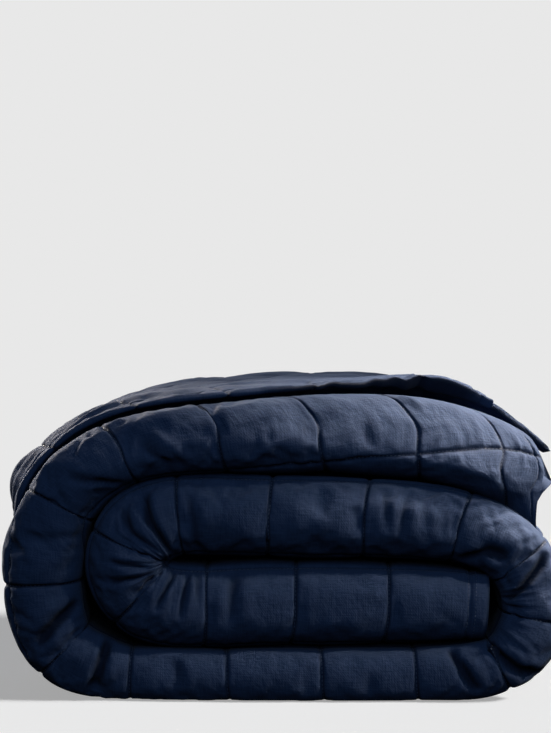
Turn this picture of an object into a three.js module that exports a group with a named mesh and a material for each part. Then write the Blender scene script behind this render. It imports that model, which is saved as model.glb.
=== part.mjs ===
// A box-stitched bed quilt, folded in three across its width and rolled up along its length.
// Millimetres, +Z up. The rolled folds face -Y, and the quilt rests on the plane z = 0.
//
// The quilt is one thick sheet. Across its width it is folded as a letter is: the inner panel
// and the middle panel meet in the front fold, and the flap comes over from the back fold and
// ends in a hem a little behind the front fold. That folded band is then rolled into a flat spiral.

import * as THREE from 'three';

// Driving dimensions
const BOX = 98; // side of one sewn box
const DEPTH = 580; // front fold to back fold
const LAYER_GAP = 2.5; // air between two layers of the folded band
const HEM_THICKNESS = 9; // the sheet at its sewn edge
const HEM_WIDTH = 18; // edge to the hem's stitch line
const HEM_TAPER = 60; // over this distance the sheet swells from its hem to full loft
const SEAM_SINK = 9; // how far a stitch line is drawn in below the crown of its boxes
const SEAM_SHARPNESS = 4; // higher gives a narrower groove along a stitch line
const FLOOR_PRESS = 4.2; // how far the underside is flattened by the quilt's own weight
const LEAN_REACH = 150; // a leaning cross seam straightens out over this distance
const LEAN_SOFT = 12; // the bend of a leaning seam at the very front is eased over this distance
const BACK_HEM_CLEARANCE = 8; // middle panel's hem to the inside of the back fold
const LIFT_REACH = 240; // a lifted flap comes down onto the band again over this distance
const TUCK = 4; // the middle panel dips under the flap this far before the flap's hem

// The spiral, from the inner end to the outer end, as control points of a smooth curve.
// box: cross seams passed so far. x, z: middle of the folded band. half: half its thickness.
// lean: how far a cross seam runs ahead along the roll for each millimetre round the front fold.
const SPIRAL = [
  { box: 0.0, x: 212, z: 99, half: 34.5, lean: 0.05 }, // inner end
  { box: 0.62, x: 146, z: 101.5, half: 40.5, lean: 0.1 },
  { box: 1.52, x: 58, z: 101.5, half: 43.5, lean: 0.15 },
  { box: 2.47, x: -32, z: 101.5, half: 44, lean: 0.15 },
  { box: 3.3, x: -108, z: 95.5, half: 43.5, lean: 0.1 }, // first turn
  { box: 3.97, x: -150, z: 108.5, half: 43.5, lean: 0 },
  { box: 4.67, x: -168, z: 147, half: 43.5, lean: 0 },
  { box: 5.4, x: -150, z: 184.5, half: 43, lean: 0 },
  { box: 6.03, x: -110, z: 198, half: 42, lean: 0.05 },
  { box: 6.83, x: -32, z: 194, half: 43, lean: 0.08 }, // second run
  { box: 7.75, x: 58, z: 193, half: 42.5, lean: 0.12 },
  { box: 8.65, x: 148, z: 190.5, half: 39.5, lean: 0.2 },
  { box: 9.3, x: 210, z: 178, half: 37, lean: 0.25 }, // right turn
  { box: 9.95, x: 248, z: 154, half: 34, lean: 0.1 },
  { box: 10.57, x: 266, z: 117, half: 34, lean: 0 },
  { box: 11.25, x: 262, z: 73, half: 32.5, lean: -0.05 },
  { box: 11.93, x: 233, z: 37, half: 29.5, lean: -0.1 },
  { box: 12.67, x: 170, z: 28.5, half: 28.5, lean: -0.12 }, // bottom run
  { box: 13.65, x: 74, z: 28.5, half: 28.5, lean: -0.12 },
  { box: 14.63, x: -21, z: 28, half: 28, lean: -0.12 },
  { box: 15.5, x: -108, z: 27, half: 27, lean: -0.12 },
  { box: 16.25, x: -187, z: 28.5, half: 29, lean: -0.05 }, // left turn
  { box: 17.05, x: -239, z: 48, half: 35, lean: 0 },
  { box: 17.75, x: -254, z: 100, half: 38, lean: 0 },
  { box: 18.3, x: -255, z: 153, half: 40.5, lean: -0.05 },
  { box: 18.92, x: -241, z: 204.5, half: 41, lean: -0.1 },
  { box: 19.6, x: -203, z: 249.5, half: 39.5, lean: -0.2 },
  { box: 20.27, x: -143, z: 273, half: 35.5, lean: -0.4 }, // top run
  { box: 20.98, x: -69, z: 278, half: 38, lean: -0.5 },
  { box: 21.7, x: 5, z: 282.5, half: 41, lean: -0.55 },
  { box: 22.4, x: 79, z: 282.5, half: 43.5, lean: -0.6 },
  { box: 23.1, x: 151, z: 277.5, half: 44, lean: -0.62 },
  { box: 23.68, x: 207, z: 261, half: 40, lean: -0.6 }, // fall at the right
  { box: 24.22, x: 248, z: 242, half: 36, lean: -0.75 },
  { box: 24.8, x: 276, z: 226, half: 34, lean: -1.0 }, // outer end
];
const LAST_BOX = SPIRAL.at(-1).box;

// The flap over the outside of the band. setback: its hem behind the front fold.
// lift: how far its hem stands off the band. loft: how much further its boxes swell up.
// slide: how far its cross seams lie ahead at its hem, in boxes. They are level at the back fold.
const FLAP = [
  { box: 0, setback: 64, lift: 0, loft: 0, slide: 0 },
  { box: 15, setback: 64, lift: 0, loft: 0, slide: 0 },
  { box: 17.4, setback: 84, lift: 0, loft: 0, slide: -0.1 },
  { box: 18.5, setback: 78, lift: 0, loft: 2, slide: -0.34 },
  { box: 18.95, setback: 60, lift: 3, loft: 15.5, slide: -0.42 },
  { box: 19.6, setback: 52, lift: 3, loft: 8.5, slide: -0.53 },
  { box: 20.5, setback: 52, lift: 3, loft: 6.5, slide: -0.65 },
  { box: 21.6, setback: 60, lift: 3, loft: 5, slide: -0.74 },
  { box: 22.3, setback: 68, lift: 5, loft: 3, slide: -0.8 },
  { box: 23.2, setback: 82, lift: 18, loft: 2, slide: -0.87 },
  { box: 23.7, setback: 92, lift: 11, loft: 0, slide: -0.81 },
  { box: 24.2, setback: 98, lift: 5, loft: 0, slide: -0.78 },
  { box: 24.8, setback: 98, lift: 5, loft: 0, slide: -0.75 },
];

// The front fold. seam: where the lengthwise seam on its outer side lies, measured round the fold.
// innerLean: as lean, on the inner side of the fold. setBack: how far the fold turns to the back.
const FRONT_FOLD = [
  { box: 0, seam: 49, innerLean: 0.03, setBack: 0 },
  { box: 14, seam: 49, innerLean: -0.04, setBack: 0 },
  { box: 17, seam: 36, innerLean: 0, setBack: 0 },
  { box: 19, seam: 30, innerLean: -0.03, setBack: 0 },
  { box: 21, seam: 34, innerLean: -0.15, setBack: 0 },
  { box: 22, seam: 52, innerLean: -0.18, setBack: 0 },
  { box: 23, seam: 80, innerLean: -0.2, setBack: 0 },
  { box: 23.8, seam: 92, innerLean: -0.75, setBack: 4 },
  { box: 24.8, seam: 104, innerLean: -0.7, setBack: 55 },
];

// The front folds are not quite in line: they stand forward and back by these waves.
const FRONT_WAVES = [
  { size: 3.5, rate: 0.83, phase: 0.4 },
  { size: 2, rate: 1.9, phase: 2.1 },
];

// Where the points lie. Shares of a box are counted from one seam to the next.
const CROSS_SHARES = [0, 0.12, 0.5, 0.88];
const HEM_COLUMNS = [0, 0.08, HEM_WIDTH / BOX];
const FLAP_SHARES = [0.2, 0.8, 1];
const FLAP_BOXES = 5;
const FOLD_SHARES = [-2, -1.75, -1.5, -1.25, -1, -0.85, -0.66, -0.5, -0.34, -0.15, 0, 0.15];
const BACK_OUTER_STEPS = 5;
const BACK_INNER_STEPS = 3;
const FLAP_UNDER_RUNS = [400, 320, LIFT_REACH, 140, HEM_TAPER]; // behind the flap's hem
const FOLD_HOLLOW_STEPS = 4;
const CROWD_ROOM = 20; // over this distance the fold's points crowd up at the flap's hem
const FOLD_WALL_SHARE = 0.62; // thickness of the sheet at the very front, as a share of half

const QUILT_MATERIAL = new THREE.MeshStandardMaterial({
  name: 'navy_cloth',
  color: new THREE.Color(0.035, 0.05, 0.095),
  roughness: 0.95,
  metalness: 0,
});

const clamp = THREE.MathUtils.clamp;
const lerp = THREE.MathUtils.lerp;
const smooth = (value, low, high) => THREE.MathUtils.smoothstep(value, low, high);

// One column of a table of control points, on a uniform cubic B-spline at row number k.
function curveValue(table, k, column) {
  const last = table.length - 1;
  const first = clamp(Math.floor(k), 0, last - 1);
  const f = k - first;
  const value = (i) => {
    if (i < 0) return 2 * table[0][column] - table[1][column];
    if (i > last) return 2 * table[last][column] - table[last - 1][column];
    return table[i][column];
  };
  const weights = [
    (1 - f) ** 3,
    3 * f ** 3 - 6 * f ** 2 + 4,
    -3 * f ** 3 + 3 * f ** 2 + 3 * f + 1,
    f ** 3,
  ];
  return weights.reduce((sum, weight, i) => sum + weight * value(first - 1 + i), 0) / 6;
}

// One column of a table with a box column, eased from row to row.
function tableValue(table, box, column) {
  const next = table.findIndex((row) => row.box >= box);
  if (next === 0) return table[0][column];
  if (next < 0) return table.at(-1)[column];
  const [low, high] = [table[next - 1], table[next]];
  return lerp(low[column], high[column], smooth(box, low.box, high.box));
}

// The row number of the spiral at which that many boxes have passed.
function rowAtBox(box) {
  let [low, high] = [-1, SPIRAL.length];
  for (let i = 0; i < 40; i++) {
    const middle = (low + high) / 2;
    if (curveValue(SPIRAL, middle, 'box') < box) low = middle;
    else high = middle;
  }
  return (low + high) / 2;
}

// Everything about the band at one place along the roll.
function placeAt(box) {
  const k = rowAtBox(box);
  const at = (column, row = k) => curveValue(SPIRAL, row, column);
  const step = 1e-3;
  const tangent = new THREE.Vector2(
    at('x', k + step) - at('x', k - step),
    at('z', k + step) - at('z', k - step),
  ).normalize();
  const front = FRONT_WAVES.reduce(
    (sum, wave) => sum + wave.size * Math.sin(wave.rate * box + wave.phase),
    0,
  );
  return {
    x: at('x'),
    z: at('z'),
    half: at('half'),
    lean: at('lean'),
    outward: new THREE.Vector2(-tangent.y, tangent.x),
    front,
    setback: tableValue(FLAP, box, 'setback'),
    lift: tableValue(FLAP, box, 'lift'),
    loft: tableValue(FLAP, box, 'loft'),
    slide: tableValue(FLAP, box, 'slide'),
    seam: tableValue(FRONT_FOLD, box, 'seam'),
    innerLean: tableValue(FRONT_FOLD, box, 'innerLean'),
    setBack: tableValue(FRONT_FOLD, box, 'setBack'),
  };
}

// Keeps a distance short of a limit, crowding up to it where it would pass.
function crowd(distance, limit) {
  const free = limit - CROWD_ROOM;
  if (distance < free) return distance;
  return limit - CROWD_ROOM * Math.exp((free - distance) / CROWD_ROOM);
}

// Groove depth, 0 to 1, at a position counted in boxes with a seam at each whole number.
function groove(position) {
  const toSeam = Math.abs(position - Math.round(position));
  return (1 - 2 * toSeam) ** SEAM_SHARPNESS;
}

// The section of the folded sheet at one place, as a closed outline. edge runs from 0 at the
// quilt's sewn end to 1 where the sheet is at full loft. Each point has y behind the front fold,
// w across the band, and round: its distance round the fold from the front. A point of a quilted
// face also has across: its position in boxes, and turn: how far its face is turned from w to y.
// A point of the flap has slideShare: how much of the flap's slide it takes, 1 at its hem.
function outlineAt(place, edge) {
  const { half, setback, lift, loft, seam, front, setBack } = place;
  const outerFace = half + loft;
  const fullLayer = (half + outerFace - 2 * LAYER_GAP) / 3;
  const layer = lerp(HEM_THICKNESS, fullLayer, edge);
  const middleCentre = -half + 1.5 * fullLayer + LAYER_GAP;
  const backStart = DEPTH - half;
  const quarterTurn = (Math.PI / 2) * half;
  const points = [];
  const add = (y, w, round, across = null, turn = 0) => points.push({ y, w, round, across, turn });
  const addFlap = (run, w, across = null) => {
    const y = setback + run;
    points.push({ y, w, round: 0, across, turn: 0, slideShare: 1 - run / (backStart - setback) });
  };

  // Flap: its hem, its quilted outer face, then the outside of the back fold
  const flapRound = (y) => y - half + quarterTurn;
  const lifted = (run) => lift * (1 - smooth(run, 0, LIFT_REACH));
  const flapFace = (run) => half + lifted(run) + loft * smooth(run, 0, HEM_TAPER);
  addFlap(0, flapFace(0) - HEM_THICKNESS);
  addFlap(0, flapFace(0));
  addFlap(HEM_WIDTH, flapFace(HEM_WIDTH), 0);
  const flapBox = (backStart - setback - HEM_WIDTH) / FLAP_BOXES;
  for (let box = 0; box < FLAP_BOXES; box++) {
    for (const share of FLAP_SHARES) {
      const run = HEM_WIDTH + (box + share) * flapBox;
      addFlap(run, flapFace(run), box + share);
    }
  }
  const backCentre = (outerFace - half) / 2;
  const backRadius = (outerFace + half) / 2;
  for (let i = 1; i <= BACK_OUTER_STEPS; i++) {
    const angle = (Math.PI * i) / BACK_OUTER_STEPS;
    const y = backStart + half * Math.sin(angle);
    const across = FLAP_BOXES + (angle * backRadius) / BOX;
    add(y, backCentre + backRadius * Math.cos(angle), 0, across, angle);
  }

  // Front fold, from the inner panel round to the middle panel where that goes under the flap
  const middleFace = middleCentre + layer / 2;
  const tuck = setback - TUCK;
  const sunk = (y) => smooth(y, half * 0.7, setback + TUCK);
  for (const share of FOLD_SHARES) {
    const round = seam + share * BOX;
    const angle = clamp(round / half, -Math.PI / 2, Math.PI / 2);
    const beyond = Math.max(0, Math.abs(round) - quarterTurn);
    const y = half * (1 - Math.cos(angle)) + beyond;
    const turn = angle - Math.PI / 2;
    if (round < 0) add(y, half * Math.sin(angle), round, share, turn);
    else add(crowd(y, tuck), lerp(half * Math.sin(angle), middleFace, sunk(y)), round, share, turn);
  }
  add(tuck, lerp(half, middleFace, sunk(tuck)), flapRound(tuck));
  for (const run of [HEM_TAPER, LIFT_REACH]) addFlap(run, middleFace);

  // Middle panel: its outer face, its hem inside the back fold, and its inner face
  const middleEnd = backStart - BACK_HEM_CLEARANCE;
  addFlap(middleEnd - HEM_TAPER - setback, middleFace);
  addFlap(middleEnd - setback, middleCentre + HEM_THICKNESS / 2);
  add(middleEnd, middleCentre - HEM_THICKNESS / 2, 0);
  add(middleEnd - HEM_TAPER, middleCentre - layer / 2, 0);

  // Hollow of the front fold, from the middle panel's inner face to the inner panel's
  const wall = lerp(HEM_THICKNESS, FOLD_WALL_SHARE * half, edge);
  const hollowHeight = half - lerp(HEM_THICKNESS, fullLayer, edge) * 0.9;
  for (let i = 0; i <= FOLD_HOLLOW_STEPS; i++) {
    const angle = Math.PI * (0.5 - i / FOLD_HOLLOW_STEPS);
    const y = wall + (2.2 * half - wall) * (1 - Math.cos(angle)) ** 1.5;
    const narrow = Math.abs(Math.sin(angle)) ** 6;
    const open = lerp(hollowHeight * Math.sin(angle) * 0.8, 0, narrow);
    const tail = i === 0 ? middleCentre - layer / 2 : -half + layer;
    add(y, lerp(open, tail, narrow), 0);
  }

  // Inside of the back fold, and the underside of the flap
  const insideRadius = backRadius - layer;
  for (let i = 0; i <= BACK_INNER_STEPS; i++) {
    const angle = Math.PI * (1 - i / BACK_INNER_STEPS);
    const y = backStart + (half - layer) * Math.sin(angle);
    add(y, backCentre + insideRadius * Math.cos(angle), 0);
  }
  for (const run of FLAP_UNDER_RUNS) addFlap(run, flapFace(run) - layer);

  return points.map((point) => {
    const turnedBack = point.slideShare === undefined ? setBack * (1 - point.y / DEPTH) : 0;
    return { ...point, y: point.y + front + turnedBack };
  });
}

// One point of the quilt: row of the outline, at a cross position counted in boxes.
function quiltPoint(position, row) {
  const toEnd = Math.min(position, LAST_BOX - position) * BOX;
  const edge = smooth(toEnd, 0, HEM_TAPER);
  const here = placeAt(position);
  const level = outlineAt(here, edge)[row];
  const distance = Math.hypot(level.round, LEAN_SOFT) - LEAN_SOFT;
  const reach = LEAN_REACH * (1 - Math.exp(-distance / LEAN_REACH));
  const lean = level.round > 0 ? here.lean : -here.innerLean;
  const slide = here.slide * (level.slideShare ?? 0);
  const place = placeAt(position + (lean * reach) / BOX + slide);
  const point = outlineAt(place, edge)[row];

  let sink = 0;
  if (point.across !== null) {
    const crown = (1 - groove(position)) * (1 - groove(point.across));
    sink = SEAM_SINK * (1 - crown) * edge;
  }
  const w = point.w - sink * Math.cos(point.turn);
  const y = point.y - sink * Math.sin(point.turn) - DEPTH / 2;
  const z = place.z + place.outward.y * w - FLOOR_PRESS;
  return new THREE.Vector3(place.x + place.outward.x * w, y, Math.max(0, z));
}

// Cross positions of the columns of points, closer together beside each seam and at the hems.
function columnPositions() {
  const positions = [...HEM_COLUMNS, ...HEM_COLUMNS.map((edge) => LAST_BOX - edge)];
  for (let box = 0; box < LAST_BOX; box++) {
    positions.push(...CROSS_SHARES.map((share) => box + share));
  }
  const spacing = 0.05;
  return positions
    .filter((at) => at <= LAST_BOX)
    .sort((a, b) => a - b)
    .filter((at, i, all) => i === 0 || at - all[i - 1] > spacing);
}

function quiltGeometry() {
  const columns = columnPositions();
  const rowCount = outlineAt(placeAt(0), 1).length;
  const points = columns.map((at) =>
    Array.from({ length: rowCount }, (_, row) => quiltPoint(at, row)),
  );
  const index = [];
  for (let column = 0; column + 1 < columns.length; column++) {
    for (let row = 0; row < rowCount; row++) {
      const next = (row + 1) % rowCount;
      const [a, b] = [column * rowCount + row, column * rowCount + next];
      const [c, d] = [a + rowCount, b + rowCount];
      index.push(a, c, b, b, c, d);
    }
  }

  // The sewn ends: each is closed by a strip between the outer and the inner face of the sheet,
  // from the flap's hem to the middle panel's, stepping on the side with the shorter diagonal
  const closeEnd = (column, flip) => {
    const gap = (a, b) => points[column][a].distanceTo(points[column][b]);
    let [outer, inner] = [0, rowCount - 1];
    while (inner - outer > 1) {
      const stepOuter = gap(outer + 1, inner) < gap(outer, inner - 1);
      const third = stepOuter ? outer + 1 : inner - 1;
      const corners = [outer, third, inner].map((row) => column * rowCount + row);
      index.push(...(flip ? corners.reverse() : corners));
      if (stepOuter) outer += 1;
      else inner -= 1;
    }
  };
  closeEnd(0, false);
  closeEnd(columns.length - 1, true);

  const geometry = new THREE.BufferGeometry().setFromPoints(points.flat());
  geometry.setIndex(index);
  geometry.computeBoundingBox();
  const centre = geometry.boundingBox.getCenter(new THREE.Vector3());
  geometry.translate(-centre.x, -centre.y, -geometry.boundingBox.min.z);
  geometry.computeVertexNormals();
  return geometry;
}

const quilt = new THREE.Mesh(quiltGeometry(), QUILT_MATERIAL);
quilt.name = 'quilt';

const part = new THREE.Group();
part.add(quilt);

export default part;
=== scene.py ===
import math
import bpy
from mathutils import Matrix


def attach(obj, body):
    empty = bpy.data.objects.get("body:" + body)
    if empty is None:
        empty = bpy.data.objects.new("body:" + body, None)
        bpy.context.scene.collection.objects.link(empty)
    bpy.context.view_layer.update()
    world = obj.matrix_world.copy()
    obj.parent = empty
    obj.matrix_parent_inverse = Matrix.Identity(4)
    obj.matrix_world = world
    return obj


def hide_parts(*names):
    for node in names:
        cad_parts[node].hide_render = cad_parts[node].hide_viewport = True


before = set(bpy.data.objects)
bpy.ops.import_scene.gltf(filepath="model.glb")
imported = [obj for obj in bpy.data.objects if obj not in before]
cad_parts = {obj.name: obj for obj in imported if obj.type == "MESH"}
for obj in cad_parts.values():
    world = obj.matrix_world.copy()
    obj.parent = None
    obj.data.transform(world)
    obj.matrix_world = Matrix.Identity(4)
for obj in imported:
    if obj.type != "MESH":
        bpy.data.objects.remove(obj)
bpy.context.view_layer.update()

from types import SimpleNamespace

import bpy
import numpy as np

# The rolled band
# The quilt is folded in three across its width, as a letter is, and the band that this makes is
# rolled up along its length. The table is the line that the middle of the band follows, from the
# inner end to the outer end. Lengths are in millimetres until the meshes are made.
MM = 0.001
BOX = 98.0
DEPTH = 580.0
FLOOR_PRESS = 4.2
ROLL_CENTRE = (1.37, -0.53)
LEAN_REACH = 150.0
LEAN_KEPT, LEAN_GONE = 200.0, 540.0
LEAN_SOFT = 12.0

# box: cross seams passed so far. x, z: middle of the band. half: half its thickness.
# lean: how far a cross seam runs ahead for each millimetre round the front fold.
SPIRAL = np.array([
    # box, x, z, half, lean
    (0.0, 212, 99, 34.5, 0.05),
    (0.62, 146, 101.5, 40.5, 0.1),
    (1.52, 58, 101.5, 43.5, 0.15),
    (2.47, -32, 101.5, 44.5, 0.15),
    (3.3, -108, 95.5, 43.5, 0.1),
    (3.97, -150, 108.5, 43.5, 0),
    (4.67, -168, 147, 43.5, 0),
    (5.4, -150, 184.5, 43, 0),
    (6.03, -110, 198, 43, 0.05),
    (6.83, -32, 194, 43.5, 0.08),
    (7.75, 58, 193, 43, 0.12),
    (8.65, 148, 190.5, 41, 0.2),
    (9.3, 210, 178, 38, 0.25),
    (9.95, 248, 154, 35.5, 0.1),
    (10.57, 266, 117, 34, 0),
    (11.25, 262, 73, 32.5, -0.05),
    (11.93, 233, 37, 29.5, -0.1),
    (12.67, 170, 28.5, 28.5, -0.12),
    (13.65, 74, 28.5, 28.5, -0.12),
    (14.63, -21, 28, 28, -0.12),
    (15.5, -108, 27, 27, -0.12),
    (16.25, -187, 28.5, 29, -0.05),
    (17.05, -239, 48, 35, 0),
    (17.75, -254, 100, 38, 0),
    (18.3, -255, 153, 40.5, -0.05),
    (18.92, -241, 204.5, 41, -0.1),
    (19.6, -203, 249.5, 39.5, -0.2),
    (20.27, -143, 273, 37, -0.5),
    (20.98, -69, 278, 39, -0.65),
    (21.7, 5, 282.5, 41.5, -0.72),
    (22.4, 79, 282.5, 44, -0.78),
    (23.1, 151, 277.5, 45.5, -0.8),
    (23.68, 205, 263, 43.5, -0.85),
    (24.22, 245, 244, 43.5, -1.0),
    (24.8, 271, 217, 45, -1.4),
], float)
LAST_BOX = SPIRAL[-1, 0]

# The flap over the outside of the band. setback: its hem behind the front fold. lift: how far
# its hem stands off the band. loft: how much further its boxes swell. slide: how far its cross
# seams lie ahead of those of the front fold, in boxes.
FLAP = np.array([
    # box, setback, lift, loft, slide
    (0, 64, 0, 0, 0),
    (15, 64, 0, 0, 0),
    (17.4, 84, 0, 0, -0.1),
    (18.5, 78, 0, 2, -0.3),
    (18.95, 60, 4, 15.5, -0.36),
    (19.6, 52, 4, 8.5, -0.42),
    (20.5, 52, 4, 6.5, -0.42),
    (21.6, 60, 4, 5, -0.42),
    (22.3, 68, 6, 3, -0.42),
    (23.2, 82, 18, 2, -0.42),
    (23.7, 92, 11, 0, -0.34),
    (24.2, 98, 4, 0, -0.18),
    (24.8, 98, 2, 0, 0.06),
], float)

# The front fold. seam: where the lengthwise seam on its outer side lies, measured round the fold.
# inner lean: as lean, on the inner side of the fold. turned: how far the fold turns to the back.
# slope: how far its upper side leans back.
FRONT_FOLD = np.array([
    # box, seam, inner lean, turned, slope
    (0, 49, 0.03, 0, 0),
    (14, 49, -0.04, 0, 0),
    (17, 36, 0, 0, 0),
    (18.4, 36, -0.03, 0, 0),
    (19, 57, -0.03, 0, 0),
    (21, 51, -0.15, 0, 0.3),
    (22, 63, -0.18, 0, 0.5),
    (23, 82, -0.2, 0, 0.6),
    (23.8, 104, -1.2, 4, 0.6),
    (24.8, 136, -1.8, 30, 0.3),
], float)

# The front folds are not quite in line: they stand forward and back by waves along the roll.
FRONT_WAVES = (
    # size, rate, phase
    (3.5, 0.83, 0.4),
    (2.0, 1.9, 2.1),
)


def smooth(value, low, high):
    t = np.clip((value - low) / (high - low), 0.0, 1.0)
    return t * t * (3.0 - 2.0 * t)


def stretch(value, first, last, ease):
    """1 between first and last, eased to 0 at both."""
    return smooth(value, first, first + ease) * (1 - smooth(value, last - ease, last))


def mix(a, b, share):
    return a + (b - a) * share


def spline_samples(table, steps=48):
    """Points of the uniform cubic B-spline of a table, run on in a straight line at both ends."""
    head = [table[0] + k * (table[0] - table[1]) for k in (3, 2, 1)]
    tail = [table[-1] + k * (table[-1] - table[-2]) for k in (1, 2, 3)]
    rows = np.vstack([head, table, tail])
    f = np.arange(steps) / steps
    weights = np.stack([
        (1 - f) ** 3,
        3 * f ** 3 - 6 * f ** 2 + 4,
        -3 * f ** 3 + 3 * f ** 2 + 3 * f + 1,
        f ** 3,
    ], axis=1) / 6
    return np.vstack([weights @ rows[i:i + 4] for i in range(len(rows) - 3)])


def eased(table, box, column):
    """A column of a table with a box column, eased from row to row."""
    boxes = table[:, 0]
    at = np.clip(np.searchsorted(boxes, box) - 1, 0, len(boxes) - 2)
    share = smooth(box, boxes[at], boxes[at + 1])
    return mix(table[at, column], table[at + 1, column], share)


spiral = spline_samples(SPIRAL)
spiral_heading = np.unwrap(np.arctan2(np.gradient(spiral[:, 2]), np.gradient(spiral[:, 1])))


def place_at(box):
    """Everything about the band at places along the roll."""
    def at(column):
        return np.interp(box, spiral[:, 0], spiral[:, column])
    heading = np.interp(box, spiral[:, 0], spiral_heading)
    p = SimpleNamespace(
        x=at(1), z=at(2), half=at(3), lean=at(4),
        out_x=-np.sin(heading), out_z=np.cos(heading),
        front=sum(size * np.sin(rate * box + phase) for size, rate, phase in FRONT_WAVES),
        setback=eased(FLAP, box, 1), lift=eased(FLAP, box, 2),
        loft=eased(FLAP, box, 3), slide=eased(FLAP, box, 4),
        seam=np.interp(box, FRONT_FOLD[:, 0], FRONT_FOLD[:, 1]),
        inner_lean=eased(FRONT_FOLD, box, 2),
        turned=eased(FRONT_FOLD, box, 3), slope=eased(FRONT_FOLD, box, 4),
    )
    p.quarter = p.half * math.pi / 2
    p.back_start = DEPTH - p.half
    return p


# The folded sheet
# One thick sheet of washed cotton with a loose filling, sewn through in boxes. Its section is a
# closed outline: flap, back fold, inner panel, front fold and middle panel. Each row below is one
# point of that outline, swept along the roll.
LAYER_GAP = 2.5
HEM_THICKNESS = 5.5
HEM_WIDTH = 18.0
HEM_TAPER = 60.0
HANG_FROM, HANG_BACK = 6.0, 0.8
LIFT_REACH = 150.0
UNDER_REACH = 240.0
TUCK = 4.0
BACK_HEM_CLEARANCE = 8.0
FLAP_BOXES = 5

# Where each face begins across the sheet, in boxes from the flap's stitched hem
BACK_FOLD_AT = 5.0
INNER_PANEL_AT = 6.0
FOLD_AT = 12.0
MIDDLE_HEM_AT = 17.0
HOLLOW_AT = 18.0
BACK_INNER_AT = 19.0
UNDER_FLAP_AT = 20.0

# Distances from a seam to the middle of a box at which the drawn cloth has points
SEAM_STEPS = np.array([0, 2.2, 7, 12.5, 18.5, 24.5, 30.5, 36.7, 42.9, 49]) / BOX
BOX_STEPS = np.concatenate([SEAM_STEPS, 1 - SEAM_STEPS[-2:0:-1]])
FLAP_STEPS = np.array([0, 0.025, 0.08, 0.18, 0.33, 0.5, 0.67, 0.82, 0.92, 0.975])

sheet_rows = []


def sheet_row(face):
    """Adds one row of the outline, a function of the place along the roll, on that face."""
    def keep(shape):
        sheet_rows.append((face, shape))
        return shape
    return keep


def thickness(p, edge):
    p.outer = p.half + p.loft
    p.full_layer = (p.half + p.outer - 2 * LAYER_GAP) / 3
    p.layer = mix(HEM_THICKNESS, p.full_layer, edge)
    p.middle = -p.half + 1.5 * p.full_layer + LAYER_GAP
    return p


def flap_round(p, y):
    return y - p.half + p.quarter


def flap_face(p, run):
    lifted = p.lift * (1 - smooth(run, 0, LIFT_REACH))
    return p.half + lifted + p.loft * smooth(run, 0, HEM_TAPER)


# Flap: the turned edge of its hem, then its quilted face up to the back fold
for drop, inset in ((1.0, 2.0), (0.75, 0.4), (0.4, 0.0), (0.12, 0.9)):
    @sheet_row("hem")
    def flap_edge(p, drop=drop, inset=inset):
        hang = np.maximum(0, p.lift - HANG_FROM)
        y = p.setback + inset + HANG_BACK * drop * hang
        w = flap_face(p, 0) - drop * (HEM_THICKNESS + hang)
        return y, w, flap_round(p, y), -HEM_WIDTH / BOX, 0.0
for run in (3, 7.5, 12, 16):
    @sheet_row("flap")
    def flap_hem(p, run=run):
        y = p.setback + run
        return y, flap_face(p, run), flap_round(p, y), (run - HEM_WIDTH) / BOX, 0.0
for number in range(FLAP_BOXES):
    for share in (FLAP_STEPS if number else BOX_STEPS):
        @sheet_row("flap")
        def flap_box(p, across=number + share):
            run = HEM_WIDTH + across * (p.back_start - p.setback - HEM_WIDTH) / FLAP_BOXES
            y = p.setback + run
            return y, flap_face(p, run), flap_round(p, y), across, 0.0

# Back fold, then the outer face of the inner panel
BACK_STEPS = 9
for step in range(BACK_STEPS + 1):
    @sheet_row("back")
    def back_outer(p, share=step / BACK_STEPS):
        angle = math.pi * share
        y = p.back_start + p.half * math.sin(angle)
        w = (p.outer - p.half) / 2 + (p.outer + p.half) / 2 * math.cos(angle)
        return y, w, 0 * y, BACK_FOLD_AT + share, angle
INNER_STEPS = 5
for step in range(1, INNER_STEPS):
    @sheet_row("plain")
    def inner_panel(p, share=step / INNER_STEPS):
        far = p.half - p.quarter - p.seam + 2 * BOX
        y = mix(p.back_start, far, share)
        across_at = mix(INNER_PANEL_AT, FOLD_AT - 2, share)
        return y, -p.half, -flap_round(p, far) * share, across_at, math.pi

# Front fold, from the inner panel round to where the middle panel dips under the flap
FOLD_SQUARE = 0.88
SINKS_FROM = 0.7
TOP_LEAST = 6.0


def fold_point(p, round_at):
    angle = np.clip(round_at / p.half, -math.pi / 2, math.pi / 2)
    beyond = np.maximum(0, np.abs(round_at) - p.quarter)
    y = p.half * (1 - np.cos(angle) ** FOLD_SQUARE) + beyond
    w = p.half * np.sign(angle) * np.abs(np.sin(angle)) ** FOLD_SQUARE
    sunk = np.where(round_at > 0, smooth(y, p.half * SINKS_FROM, p.setback + TUCK), 0)
    leant = y + p.slope * np.maximum(0, w + p.half / 2)
    y = np.where(round_at > -p.quarter, np.minimum(leant, np.maximum(y, p.setback - TUCK)), y)
    w = mix(w, p.middle + p.layer / 2, sunk)
    return y, w, round_at, FOLD_AT + (round_at - p.seam) / BOX, angle - math.pi / 2


lower_box = np.concatenate([[-2, -1.8, -1.63], -1 - SEAM_STEPS[:0:-1]])
for share in np.concatenate([lower_box, BOX_STEPS - 1]):
    @sheet_row("fold")
    def fold_box(p, share=share):
        return fold_point(p, p.seam + share * BOX)
for share in (0, 0.05, 0.13, 0.23, 0.35, 0.48, 0.62, 0.8, 1):
    @sheet_row("fold")
    def fold_top(p, share=share):
        top = p.setback - TUCK - p.half + p.quarter
        return fold_point(p, mix(p.seam, np.maximum(top, p.seam + TOP_LEAST), share))

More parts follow.
